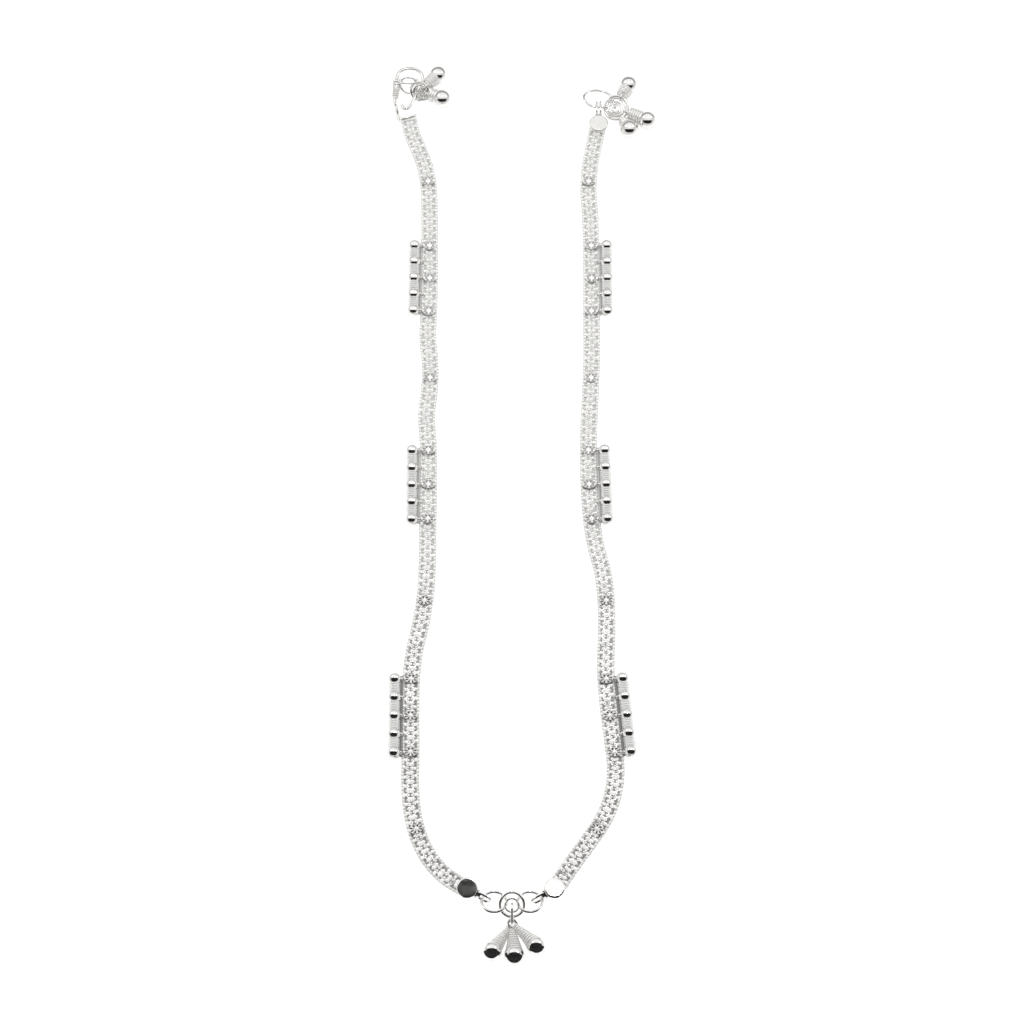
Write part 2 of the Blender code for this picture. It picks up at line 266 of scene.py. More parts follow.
class Nodes:
    """The node tree of a material or a world."""

    def __init__(self, owner):
        owner.use_nodes = True
        self.tree = owner.node_tree

    def node(self, kind, settings, sockets):
        """Any node, from its type, its settings and its sockets' values or links."""
        node = self.tree.nodes.new(kind)
        for name, value in settings.items():
            setattr(node, name, value)
        for socket, value in sockets.items():
            self.feed(node.inputs[socket], value)
        return node

    def feed(self, socket, value):
        if isinstance(value, Value):
            value = value.socket
        if isinstance(value, bpy.types.NodeSocket):
            self.tree.links.new(value, socket)
        else:
            socket.default_value = value

    def value(self, kind, settings, sockets):
        return Value(self, self.node(kind, settings, sockets).outputs[0])

    def part(self, way, axis):
        """The X, Y or Z of a place or a direction."""
        return Value(self, self.node("ShaderNodeSeparateXYZ", {}, {0: way}).outputs[axis])

    def ramp(self, value, low, high, start=0.0, end=1.0):
        """Start at low, end at high, smoothly between, and level outside."""
        settings = {"interpolation_type": "SMOOTHSTEP"}
        sockets = {
            "Value": value, "From Min": low, "From Max": high, "To Min": start, "To Max": end,
        }
        return self.value("ShaderNodeMapRange", settings, sockets)

    def blend(self, factor, first, second):
        """A colour between two colours."""
        node = self.node("ShaderNodeMix", {"data_type": "RGBA"}, {0: factor, 6: first, 7: second})
        return node.outputs[2]


class Surface(Nodes):
    """A material's node tree round its Principled shader."""

    def __init__(self, name, **constants):
        self.material = bpy.data.materials.new(name)
        super().__init__(self.material)
        self.shader = self.tree.nodes["Principled BSDF"]
        for socket, value in constants.items():
            self.shader.inputs[socket].default_value = value

    def place(self):
        return self.node("ShaderNodeTexCoord", {}, {}).outputs["Object"]

    def along(self, axis):
        """The place along X, Y or Z in millimetres."""
        return self.part(self.place(), axis) * (1 / MM)

    def noise(self, size_mm, detail=2.0):
        sockets = {"Vector": self.place(), "Scale": 1 / (size_mm * MM), "Detail": detail}
        return self.value("ShaderNodeTexNoise", {}, sockets)

    def bump(self, height, distance_mm, strength):
        sockets = {"Height": height, "Distance": distance_mm * MM, "Strength": strength}
        self.feed(self.shader.inputs["Normal"], self.node("ShaderNodeBump", {}, sockets).outputs[0])

    def set(self, socket, value):
        self.feed(self.shader.inputs[socket], value)


print("shader sums ready")

# %% [markdown]
# Bright silver wire and bells are polished, but handled: the gloss wavers a
# little, and the polishing leaves very fine marks.

# %% Polished silver
BRIGHT = (0.93, 0.92, 0.905, 1)
DULLER = (0.85, 0.84, 0.82, 1)
polished = Surface("polished_silver", Metallic=1.0)
cloud = polished.noise(1.1, 3.0)
polished.set("Base Color", polished.blend(polished.ramp(cloud, 0.35, 0.75), BRIGHT, DULLER))
polished.set("Roughness", polished.ramp(cloud, 0.3, 0.8, 0.06, 0.16))
polished.bump(polished.noise(0.35), 0.006, 0.15)
print("polished silver ready")

# %% [markdown]
# The links of the chain are the same silver, but their recesses are painted dark,
# a painted shade for the shadow that falls in them. The high points are painted
# bright, brighter at the near end and dimmer at the far end, and they are satin,
# not mirrors: a frosted surface scatters part of the light, so the shader is only
# partly metallic. The milled edges are pale grey, with painted shade on their
# undersides. The hollows of the cut flowers hold the darkest painted shade of all.
# The painted shade is deepest at the near end and paler towards the far end, at
# the clasp. A dark grey, also painted shade, covers the backs of the links, the
# ties and side wires of the bell rows, and the dome under the grains. Wire wound
# on a bar stays dull, on a bell's neck it is frosted, and two end plates are satin.

# %% The painted shade, dull, frosted and satin finishes
# Painted shade: these tones darken recesses, hollows and undersides, and change from the near end
# to the far end.
NEAR_FAR_SHADE_Y = (-25, 15)
LINK_SHADE_Z = (0.46, 0.76)
PETAL_SHADE_Z = (1.08, 1.22)
MILLED_SHADE_Z = (0.15, 0.45)
NEAR_RECESS_SHADE = (0.42, 0.42, 0.41, 1)
FAR_RECESS_SHADE = (0.6, 0.6, 0.59, 1)
NEAR_LIT_TOPS = (0.96, 0.95, 0.935, 1)
FAR_SHADED_TOPS = (0.87, 0.865, 0.85, 1)
NEAR_HOLLOW_SHADE = (0.08, 0.08, 0.078, 1)
FAR_HOLLOW_SHADE = (0.42, 0.42, 0.41, 1)
NEAR_BACKS_SHADE = (0.24, 0.24, 0.235, 1)
FAR_BACKS_SHADE = (0.46, 0.46, 0.45, 1)
MILLED_TOPS = (0.76, 0.755, 0.74, 1)
MILLED_SHADED_UNDERSIDE = (0.6, 0.6, 0.59, 1)
# Painted shade: link recesses below a height are dark, darkest at the near end, and the tops are
# painted brighter at the near end.
link_silver = Surface("link_silver_painted_shade", Metallic=0.5)
cloud = link_silver.noise(0.8, 3.0)
shade_below = link_silver.ramp(link_silver.along("Z") + cloud * 0.2, *LINK_SHADE_Z, 1.0, 0.0)
near_far_shade = link_silver.ramp(link_silver.along("Y") + cloud * 20, *NEAR_FAR_SHADE_Y)
recess_shade = link_silver.blend(near_far_shade, NEAR_RECESS_SHADE, FAR_RECESS_SHADE)
link_silver.set("Base Color", link_silver.blend(shade_below, link_silver.blend(near_far_shade, NEAR_LIT_TOPS, FAR_SHADED_TOPS), recess_shade))
link_silver.set("Roughness", link_silver.ramp(cloud, 0.3, 0.8, 0.2, 0.32) + shade_below * 0.2)
link_silver.bump(link_silver.noise(0.3), 0.012, 0.35)

# Painted shade: the petal hollows below a height are dark, darkest at the near end.
petal = Surface("cut_petal_silver", Metallic=0.6)
cloud = petal.noise(0.8, 3.0)
shade_below = petal.ramp(petal.along("Z") + cloud * 0.02, *PETAL_SHADE_Z, 1.0, 0.0)
hollow_shade = petal.blend(petal.ramp(petal.along("Y"), *NEAR_FAR_SHADE_Y), NEAR_HOLLOW_SHADE, FAR_HOLLOW_SHADE)
petal.set("Base Color", petal.blend(shade_below, BRIGHT, hollow_shade))
petal.set("Roughness", petal.ramp(cloud, 0.3, 0.8, 0.16, 0.26) + shade_below * 0.2)
petal.bump(petal.noise(0.3), 0.01, 0.3)

# Painted shade: the lower half of each milled tooth is darker.
milled = Surface("milled_edge_silver", Metallic=0.6)
cloud = milled.noise(0.8, 3.0)
shade_below = milled.ramp(milled.along("Z") + cloud * 0.1, *MILLED_SHADE_Z, 1.0, 0.0)
milled.set("Base Color", milled.blend(shade_below, MILLED_TOPS, MILLED_SHADED_UNDERSIDE))
milled.set("Roughness", milled.ramp(cloud, 0.3, 0.8, 0.34, 0.45))
milled.bump(milled.noise(0.25), 0.01, 0.3)

# Painted shade: a dark grey for the link backs, the ties, the side wires and the dome, darker at
# the near end.
dark_shade = Surface("painted_dark_shade", Metallic=0.6)
cloud = dark_shade.noise(0.5, 3.0)
near_far_shade = dark_shade.ramp(dark_shade.along("Y") + cloud * 20, *NEAR_FAR_SHADE_Y)
dark_shade.set("Base Color", dark_shade.blend(near_far_shade, NEAR_BACKS_SHADE, FAR_BACKS_SHADE))
dark_shade.set("Roughness", dark_shade.ramp(cloud, 0.3, 0.8, 0.4, 0.6))


def cloudy(name, metallic, cloud_mm, tones, gloss, marks):
    """Silver that wavers between two tones and two glosses, with fine marks."""
    surface = Surface(name, Metallic=metallic)
    cloud = surface.noise(cloud_mm, 3.0)
    marks_mm, depth, strength = marks
    surface.set("Base Color", surface.blend(cloud, *tones))
    surface.set("Roughness", surface.ramp(cloud, 0.3, 0.8, *gloss))
    surface.bump(surface.noise(marks_mm), depth, strength)
    return surface


DULL_TONES = ((0.7, 0.7, 0.685, 1), (0.88, 0.875, 0.86, 1))
FROSTED_TONES = ((0.7, 0.695, 0.68, 1), (0.86, 0.85, 0.835, 1))
SATIN_TONES = ((0.8, 0.795, 0.77, 1), (0.87, 0.865, 0.84, 1))
dull = cloudy("dull_silver", 0.6, 0.6, DULL_TONES, (0.3, 0.42), (0.3, 0.01, 0.3))
frosted = cloudy("frosted_neck_silver", 0.6, 0.6, FROSTED_TONES, (0.2, 0.3), (0.25, 0.008, 0.3))
satin = cloudy("satin_plate_silver", 1.0, 1.5, SATIN_TONES, (0.22, 0.34), (0.4, 0.008, 0.2))


def dress(piece, surface):
    """Gives a piece one material."""
    piece.data.materials.clear()
    piece.data.materials.append(surface.material)
    return piece


print("chain metals ready")

# %% [markdown]
# The chain is the payal's main form. Its band is woven from about a hundred
# links in a row. Seen from above, each link is a smooth bridge from edge to
# edge with a bright two-lobed bar on it, and a pair of small beads lies in the
# dark gap after it, inside a low oval ring. Links laid by hand never match, so
# seven of them are turned and stretched a little, each its own way, and that
# run repeats. Round beads fill the sides, half a link further on, and a milled
# wire runs along each edge. The run is modelled flat, an Array repeats it, and
# a Curve modifier lays the row along the route. X runs along the chain and Y
# across it.

# %% One link
LINK_PITCH = 1.3
BAR_LOBE = (0.33, 0.36, 0.48)
BAR_LOBE_Y = 0.31
BAR_HEIGHT = 0.54
PAIR_BEAD = 0.2
PAIR_BEAD_Y = 0.25
PAIR_HEIGHT = 0.54
SIDE_BEAD = 0.3
SIDE_BEAD_Y = 0.8
SIDE_HEIGHT = 0.64
BRIDGE = (0.3, 0.84, 0.26)
BRIDGE_HEIGHT = 0.46
EYE_HALF_LENGTH = 0.4
EYE_HALF_WIDTH = 0.56
EYE_WIRE = 0.2
EYE_HEIGHT = 0.54
EYE_FLATNESS = 0.5
LINKS_IN_RUN = 7
LINK_TURN = 11
HAND_SEED = 11
LINK_SHIFT = 0.1
LINK_STRETCH = [(0.86, 1.1), (0.88, 1.04), (0.9, 1.02)]


def bead(name, place_mm, radii_mm, segments=8, rings=6):
    """A small bead, flattened or stretched by its three radii."""
    deselect()
    bpy.ops.mesh.primitive_uv_sphere_add(
        segments=segments, ring_count=rings, radius=MM,
        location=Vector(place_mm) * MM, scale=radii_mm,
    )
    piece = bpy.context.object
    piece.name = name
    return settle(piece)


def oval_eye():
    """The low oval ring round a pair of beads."""
    deselect()
    bpy.ops.mesh.primitive_torus_add(
        major_segments=18, minor_segments=6, major_radius=MM, minor_radius=EYE_WIRE * MM,
        location=Vector((LINK_PITCH / 2, 0, EYE_HEIGHT)) * MM,
    )
    eye = bpy.context.object
    eye.scale = (EYE_HALF_LENGTH, EYE_HALF_WIDTH, EYE_FLATNESS)
    return settle(eye)


def chain_link():
    gap = LINK_PITCH / 2
    parts = [bead("bridge", (0, 0, BRIDGE_HEIGHT), BRIDGE, 12, 6), oval_eye()]
    for side in (-1, 1):
        parts.append(bead("lobe", (0, side * BAR_LOBE_Y, BAR_HEIGHT), BAR_LOBE, 10, 6))
        parts.append(bead("pair", (gap, side * PAIR_BEAD_Y, PAIR_HEIGHT), (PAIR_BEAD,) * 3))
        parts.append(bead("side", (gap, side * SIDE_BEAD_Y, SIDE_HEIGHT), (SIDE_BEAD,) * 3))
    return joined("link", parts)


def copy_of(piece, name):
    """A copy with its own mesh."""
    other = piece.copy()
    other.data = piece.data.copy()
    other.name = name
    bpy.context.scene.collection.objects.link(other)
    return other


def uneven_links(link):
    """A short run of links, none quite like the next, as hands lay them."""
    hand = random.Random(HAND_SEED)
    run = []
    for number in range(LINKS_IN_RUN):
        one = copy_of(link, "link")
        x = LINK_PITCH * (number - (LINKS_IN_RUN - 1) / 2)
        middle = Vector((x, hand.uniform(-LINK_SHIFT, LINK_SHIFT), 0)) * MM
        size = [hand.uniform(*limits) for limits in LINK_STRETCH]
        matrix = Matrix.Translation(middle) @ turn("Z", hand.uniform(-LINK_TURN, LINK_TURN))
        place(one, matrix @ Matrix.Diagonal(size + [1]))
        run.append(one)
    bpy.data.objects.remove(link)
    return joined("links", run)


link = uneven_links(dress(chain_link(), link_silver))
print("links in a run:", LINKS_IN_RUN, "faces:", len(link.data.polygons))

# %% [markdown]
# The milled edge wire has a groove about every half millimetre, which catches
# the light as a fine row of lines. One short ten-sided drum is one tooth of it.

# %% One tooth of the milled edges
TOOTH_PITCH = 0.53
TOOTH_RADIUS = 0.26
TOOTH_LENGTH = 0.52
TOOTH_BEVEL = 0.06
EDGE_Y = 1.08
EDGE_HEIGHT = 0.5


def edge_teeth():
    """One tooth on each edge, its rims bevelled."""
    parts = []
    for side in (-1, 1):
        deselect()
        bpy.ops.mesh.primitive_cylinder_add(
            vertices=10, radius=TOOTH_RADIUS * MM, depth=TOOTH_LENGTH * MM,
            location=Vector((0, side * EDGE_Y, EDGE_HEIGHT)) * MM, rotation=(0, math.pi / 2, 0),
        )
        tooth = settle(bpy.context.object)
        modify(tooth, "BEVEL", width=TOOTH_BEVEL * MM, segments=1, limit_method="ANGLE")
        parts.append(tooth)
    return joined("teeth", parts)


teeth = dress(edge_teeth(), milled)
print("faces in a pair of teeth:", len(teeth.data.polygons))

# %% [markdown]
# Here and there a diamond-cut flower sits on the chain. The cutter leaves eight
# hollow petals with sharp bright ridges between them, round a small bead. The
# flower starts as a short drum with rings inset on its top, and every second
# point of those rings is pushed down. It is a little wider than it is long.

# %% One diamond-cut flower
FLOWER_RADIUS = 1.0
FLOWER_SQUEEZE = 0.68
FLOWER_PETALS = 8
FLOWER_TOP = 1.24
FLOWER_THICKNESS = 0.8
FLOWER_INSETS = (0.12, 0.34, 0.32)
PETAL_DEPTH = 0.2
PETAL_REACH = (0.3, 0.95)
TOP_MARGIN = 0.05
FLOWER_BEAD = (0.2, 0.2, 0.16)
FLOWER_BEAD_SINK = 0.06


def cut_flower():
    deselect()
    bpy.ops.mesh.primitive_cylinder_add(
        vertices=2 * FLOWER_PETALS, radius=FLOWER_RADIUS * MM, depth=FLOWER_THICKNESS * MM,
        location=(0, 0, (FLOWER_TOP - FLOWER_THICKNESS / 2) * MM),
    )
    flower = settle(bpy.context.object)
    choose_faces(flower, lambda face: face.normal.z > 0.9)
    for inset in FLOWER_INSETS:
        bpy.ops.mesh.inset(thickness=inset * MM)
    bpy.ops.object.mode_set(mode="OBJECT")
    for vert in flower.data.vertices:
        angle = math.degrees(math.atan2(vert.co.y, vert.co.x)) % (360 / FLOWER_PETALS)
        middle = 90 / FLOWER_PETALS < angle < 270 / FLOWER_PETALS
        reach = vert.co.xy.length / MM
        on_top = vert.co.z > (FLOWER_TOP - TOP_MARGIN) * MM
        if on_top and middle and PETAL_REACH[0] < reach < PETAL_REACH[1]:
            vert.co.z -= PETAL_DEPTH * MM
    centre = bead("flower_bead", (0, 0, FLOWER_TOP - FLOWER_BEAD_SINK), FLOWER_BEAD)
    whole = joined("flower", [flower, centre])
    return place(whole, Matrix.Diagonal((FLOWER_SQUEEZE, 1, 1, 1)))


flower = dress(cut_flower(), petal)
print("faces in a flower:", len(flower.data.polygons))

# %% [markdown]
# Each half band lies along its own gently wandering route. The points are the
# middle line of the band, from the clasp end to the centre group.

# %% The routes of the two half bands
LEFT_ROUTE = [
    (-16.2, 66.4), (-15.7, 63.9), (-14.7, 61.3), (-13.6, 58.0), (-13.0, 54.5), (-12.8, 50.0),
    (-12.7, 44.0), (-12.6, 38.0), (-12.7, 32.0), (-12.8, 28.5), (-12.4, 24.0), (-12.4, 20.0),
    (-12.8, 15.5), (-12.5, 10.5), (-12.4, 5.0), (-12.4, -1.5), (-12.4, -8.0), (-12.6, -13.0),
    (-13.2, -17.5), (-14.1, -22.0), (-14.5, -26.5), (-14.5, -32.0), (-14.4, -37.5),
    (-14.4, -42.0), (-13.9, -46.5), (-12.6, -50.6), (-10.5, -53.8), (-8.4, -55.6), (-6.0, -57.0),
]
RIGHT_ROUTE = [
    (13.6, 65.6), (12.9, 62.0), (12.2, 58.0), (11.9, 54.0), (12.1, 49.5), (12.2, 44.0),
    (12.2, 38.0), (12.1, 32.0), (12.1, 26.5), (11.9, 21.0), (11.6, 15.5), (11.4, 10.5),
    (11.4, 5.0), (11.7, -1.0), (12.3, -5.5), (13.3, -9.8), (13.7, -14.0), (13.7, -19.5),
    (13.5, -24.5), (13.8, -30.0), (14.4, -35.5), (14.7, -40.0), (14.2, -43.5), (12.9, -46.8),
    (10.8, -50.0), (8.5, -53.2), (6.1, -56.7),
]
FLOWERS_AT = [55.1, 43.8, 38.2, 32.6, 21.4, 9.5, 4.0, -1.5, -14.3, -26.3, -31.8, -37.2, -48.4]


def route_curve(name, route):
    """A flat Bezier curve through the route that stays upright as it turns."""
    curve = wire_curve(name, [at(x, y) for x, y in route], 0)
    curve.data.twist_mode = "Z_UP"
    return curve


def distance_to(route, y):
    """How far along the route it crosses a height on the page, in millimetres."""
    along = 0.0
    for (x0, y0), (x1, y1) in zip(route, route[1:]):
        step = math.hypot(x1 - x0, y1 - y0)
        if y1 <= y <= y0:
            return along + step * (y0 - y) / (y0 - y1)
        along += step
    return along


print("routes:", len(LEFT_ROUTE), "and", len(RIGHT_ROUTE), "points")

# %% [markdown]
# The links are laid out along X in an Array as long as the route, the flowers
# are set among them, and a Curve modifier carries everything round the bends.
# A thin dark ribbon runs inside, where the backs of the links overlap, painted dark as shade.

# %% Lay the chain along its routes
CORE_HALF_WIDTH = 1.0
CORE_HEIGHTS = (0.12, 0.55)


def repeated(piece, count, length, **settings):
    """Repeats a piece along X, count times over a length in millimetres."""
    return modify(
        piece, "ARRAY", count=count, use_relative_offset=False, use_constant_offset=True,
        constant_offset_displace=(length / count * MM, 0, 0), **settings,
    )


def row_of(pattern, name, pitch, length):
    """Copies of the pattern along X, spread evenly over the length."""
    row = copy_of(pattern, name)
    count = round(length / pitch)
    row.data.transform(Matrix.Translation((length / count / 2 * MM, 0, 0)))
    return repeated(row, count, length)


def core_ribbon(length):
    """A flat ribbon along X, painted dark as shade, cut often enough to bend."""
    deselect()
    bpy.ops.mesh.primitive_cube_add(size=1)
    core = bpy.context.object
    low, high = CORE_HEIGHTS
    core.scale = (LINK_PITCH * MM, 2 * CORE_HALF_WIDTH * MM, (high - low) * MM)
    core.location = (LINK_PITCH / 2 * MM, 0, (low + high) / 2 * MM)
    settle(core)
    choose_faces(core, lambda face: abs(face.normal.x) > 0.9)
    bpy.ops.mesh.delete(type="FACE")
    bpy.ops.object.mode_set(mode="OBJECT")
    count = round(length / LINK_PITCH)
    core.scale.x = length / count / LINK_PITCH
    settle(core)
    repeated(core, count, length, use_merge_vertices=True, merge_threshold=WELD_GAP * MM)
    pick(core)
    bpy.ops.object.mode_set(mode="EDIT")
    bpy.ops.mesh.select_all(action="SELECT")
    bpy.ops.mesh.fill_holes(sides=4)
    bpy.ops.object.mode_set(mode="OBJECT")
    return dress(weld(core), dark_shade)


def chain_band(side, route):
    name = "chain_" + side
    path = route_curve("route_" + side, route)
    length = path.data.splines[0].calc_length() / MM
    parts = [
        row_of(link, "links", LINK_PITCH * LINKS_IN_RUN, length),
        row_of(teeth, "edges", TOOTH_PITCH, length),
        core_ribbon(length),
    ]
    for y in FLOWERS_AT:
        bloom = copy_of(flower, "bloom")
        place(bloom, Matrix.Translation((distance_to(route, y) * MM, 0, 0)))
        parts.append(bloom)
    band = joined(name, parts)
    modify(band, "CURVE", object=path, deform_axis="POS_X")
    bpy.data.objects.remove(path)
    smooth(band, 50)
    print(name, "is", round(length, 1), "mm long, faces:", len(band.data.polygons))
    return band


chain_left = chain_band("left", LEFT_ROUTE)
chain_right = chain_band("right", RIGHT_ROUTE)
for spare in (link, teeth, flower):
    bpy.data.objects.remove(spare)

# %% [markdown]
# A small bell is two pressed halves soldered round their middle. Five of them
# are soldered on a short bar. Each bell, and each stretch of bar between two
# bells, is a lathe shape: half its outline is drawn once, and a Screw modifier
# turns it about the bar.


# %% Turned shapes
def arc(radius, centre, start, end, count):
    """Outline points (radius, height) on a ball, between two angles from its top."""
    points = []
    for number in range(count):
        angle = math.radians(start + (end - start) * number / (count - 1))
        points.append((radius * math.sin(angle), centre + radius * math.cos(angle)))
    return points


def turned(name, outline, steps, matrix):
    """Turns an outline of (radius, height) in millimetres about Z, and places it."""
    mesh = bpy.data.meshes.new(name)
    edges = [(number, number + 1) for number in range(len(outline) - 1)]
    mesh.from_pydata([(radius * MM, 0, height * MM) for radius, height in outline], edges, [])
    piece = bpy.data.objects.new(name, mesh)
    bpy.context.scene.collection.objects.link(piece)
    modify(
        piece, "SCREW", steps=steps, render_steps=steps, use_merge_vertices=True,
        merge_threshold=WELD_GAP * MM,
    )
    weld(piece)
    return place(piece, matrix)


def frame_along(origin, z_axis, y_axis):
    """A frame at a point with Z along one way and Y as near as possible to another."""
    z_axis = z_axis.normalized()
    y_axis = (y_axis - y_axis.dot(z_axis) * z_axis).normalized()
    x_axis = y_axis.cross(z_axis)
    return Matrix.Translation(origin) @ Matrix((x_axis, y_axis, z_axis)).transposed().to_4x4()


UP = Vector((0, 0, 1))
print("lathe ready")

# %% [markdown]
# Between the bells the bar is wound with four turns of wire, left dull where
# the polishing wheel can't reach. A dark wire runs beside the row, and a
# little ring at each bell, under a bead of solder, ties both to the milled edge
# of the chain. The wire and the rings are painted dark, as shade for the gap
# between the row and the chain.

# %% Rows of small bells
SMALL_BELL = 1.0
ROW_BELLS = 5
SPOOL_RADIUS = 0.86
SPOOL_HALF = 0.72
SPOOL_TURNS = 4
SPOOL_GROOVE = 0.12
TIE_RING = 0.36
TIE_WIRE = 0.24
TIE_HEIGHT = 0.72
TIE_OFFSET = 1.06
SIDE_WIRE = 0.46
SIDE_WIRE_PAST = 0.5
TIE_BEAD = 0.27
TIE_BEAD_HEIGHT = 1.1
# node: first bell, last bell, which way along X the chain lies
BELL_ROWS = {
    "bell_row_left_top": ((-15.03, 43.8), (-15.05, 32.7), 1),
    "bell_row_left_middle": ((-14.92, 9.4), (-14.8, -1.6), 1),
    "bell_row_left_bottom": ((-16.88, -26.3), (-16.83, -37.3), 1),
    "bell_row_right_top": ((14.6, 43.8), (14.54, 32.6), -1),
    "bell_row_right_middle": ((13.82, 9.5), (14.08, -1.5), -1),
    "bell_row_right_bottom": ((15.92, -26.2), (16.9, -37.1), -1),
}


def bell_row(name, first, last, inward):
    """Five bells on a bar with the rings that tie them to the chain, which lies inward."""
    first = at(*first, SMALL_BELL)
    last = at(*last, SMALL_BELL)
    pitch = (last - first).length / (ROW_BELLS - 1) / MM
    along_row = frame_along(first, first - last, UP)
    parts = []
    for number in range(ROW_BELLS):
        ball = turned(name, arc(SMALL_BELL, -pitch * number, 0, 180, 15), 24, along_row)
        parts.append(dress(ball, polished))
        if number < ROW_BELLS - 1:
            middle = -pitch * (number + 0.5)
            spool = [(0, middle + SPOOL_HALF)]
            for step in range(4 * SPOOL_TURNS + 1):
                swell = abs(math.sin(math.pi * step / 4))
                height = middle + SPOOL_HALF * (1 - step / (2 * SPOOL_TURNS))
                spool.append((SPOOL_RADIUS - SPOOL_GROOVE + SPOOL_GROOVE * swell, height))
            spool.append((0, middle - SPOOL_HALF))
            parts.append(dress(turned("spool", spool, 20, along_row), dull))
    along = (last - first).normalized()
    across = along.cross(UP) * -inward
    for number in range(ROW_BELLS):
        middle = first + along * pitch * number * MM + across * TIE_OFFSET * MM
        middle.z = TIE_HEIGHT * MM
        frame_here = frame_along(middle, along, UP)
        tie = wire("tie", oval(TIE_RING, TIE_RING, 8, matrix=frame_here), TIE_WIRE, True, 1)
        # the tie ring is painted dark, as shade in the gap by the chain
        parts.append(dress(tie, dark_shade))
        spot = middle / MM
        blob = bead("tie_bead", (spot.x, spot.y, TIE_BEAD_HEIGHT), (TIE_BEAD,) * 3, 16, 8)
        parts.append(dress(blob, polished))
    beside = across * TIE_OFFSET * MM
    beside.z = (TIE_HEIGHT - SMALL_BELL) * MM
    past = along * SIDE_WIRE_PAST * MM
    ends = [first + beside - past, last + beside + past]
    # the side wire is painted dark, as shade in the gap by the chain
    parts.append(dress(wire("side_wire", ends, SIDE_WIRE), dark_shade))
    return smooth(joined(name + "_bells", parts), 40)


rows = {name: bell_row(name, *ends) for name, ends in BELL_ROWS.items()}
print("bell rows:", len(rows), "faces each:", len(rows["bell_row_left_top"].data.polygons))

# %% [markdown]
# The plain rings of the jewel are closed wire loops. Each leans a little, so
# that it can pass through its neighbour. A ring is described by its middle,
# its two half sizes, the level way it leans about, and how far it leans.

# %% Rings
RING_WIRE = 0.45
# node: piece, middle, half sizes, level way, lean
RINGS = {
    "ring_left_centre": ("left_wire_ring", (-2.5, -58.8, 1.05), (1.72, 1.72), 0, -24),
    "centre_ring": ("middle_wire_ring", (0, -59.2, 1.1), (1.67, 1.67), 0, 12),
    "ring_right_centre": ("right_wire_ring", (2.5, -58.8, 1.05), (1.72, 1.72), 0, -24),
    "clasp_ring": ("oval_catch_ring", (13.6, 69.75, 1.25), (2.3, 1.8), -33, -14),
    "jump_rings_right": ("right_jump_ring", (16.4, 68.25, 1.1), (1.87, 1.87), -33, 23),
    "jump_ring_left": ("left_jump_ring", (-14.6, 71.15, 1.3), (1.42, 1.42), -23, 46),
}


def leaning(middle, axis, tilt):
    """The frame of a ring that leans by tilt about the level way given by axis."""
    return Matrix.Translation(at(*middle)) @ turn("Z", axis) @ turn("X", tilt) @ turn("Z", -axis)


def wire_ring(name, middle, half_sizes, axis, tilt, thickness=RING_WIRE):
    loop = oval(*half_sizes, 16, matrix=leaning(middle, axis, tilt))
    return dress(smooth(wire(name, loop, thickness, True, 3), 180), polished)


rings = {node: wire_ring(*facts) for node, facts in RINGS.items()}
print("rings:", len(rings), "faces each:", len(rings["centre_ring"].data.polygons))

# %% [markdown]
# The jump rings at the clasp are not single. On the right, smaller rings are
# nested inside the big one like a flat coil. On the left, more rings tie the
# hook to the bells, and a low dome in the middle is set with silver grains.
# Small solder beads hold the rings together.

# %% Nested rings and solder beads
NESTED_RIGHT = [
    ((16.35, 68.25, 1.25), (1.44, 1.48), -33, 18, 0.38),
    ((16.22, 68.05, 1.4), (1.06, 1.0), -20, 12, 0.36),
    ((16.3, 67.9, 1.5), (0.56, 0.68), -60, 14, 0.34),
]
NESTED_LEFT = [
    ((-16.3, 72.1, 1.5), (1.32, 1.32), -8, 54, 0.36),
    ((-14.5, 71.0, 1.45), (1.02, 1.02), -23, 36, 0.36),
    ((-16.4, 72.8, 1.7), (1.5, 0.5), 0, 0, 0.3),
]
BEADS_RIGHT = [
    (18.7, 67.5, 1.25), (16.5, 67.1, 1.55), (16.2, 67.95, 1.7), (15.3, 66.9, 1.2),
    (15.2, 69.3, 1.5),
]
BEADS_LEFT = [(-15.9, 71.5, 1.8), (-14.9, 72.3, 1.75)]
SOLDER_BEAD = 0.26
GRANULE = 0.2
GRANULE_PITCH = 0.44
GRANULE_PATCH = (-13.95, 70.55, 1.35)
GRANULE_LIFT = 0.08
DOME = (1.15, 1.15, 0.3)
DOME_MARGIN = 0.05


def set_bead(name, middle, radii, segments, rings, surface):
    """A smooth bead at a place in the layout."""
    piece = bead(name, (0, 0, 0), radii, segments, rings)
    place(piece, Matrix.Translation(at(*middle)))
    return dress(smooth(piece, 180), surface)


def granulation(middle):
    """A low dome, painted dark as shade, set with bright grains in rings of six."""
    x, y, z = middle
    parts = [set_bead("dome", middle, DOME, 24, 10, dark_shade)]
    for row in range(-2, 3):
        for column in range(-2, 3):
            if abs(row + column) > 2:
                continue
            across = GRANULE_PITCH * (column + row / 2)
            up = GRANULE_PITCH * row * math.sqrt(3) / 2
            share = (across ** 2 + up ** 2) / (DOME[0] + DOME_MARGIN) ** 2
            height = z + DOME[2] * math.sqrt(1 - share) + GRANULE_LIFT
            spot = (x + across, y + up, height)
            parts.append(set_bead("grain", spot, (GRANULE,) * 3, 10, 6, polished))
    return parts


def ring_cluster(node, nested, beads):
    """The node's ring with its nested rings and its solder beads, as one piece."""
    name = RINGS[node][0]
    parts = [rings[node]]
    if node == "jump_ring_left":
        parts += granulation(GRANULE_PATCH)
    parts += [wire_ring("nested", *facts) for facts in nested]
    for middle in beads:
        parts.append(set_bead("solder", middle, (SOLDER_BEAD,) * 3, 12, 8, polished))
    rings[node] = joined(name, parts)


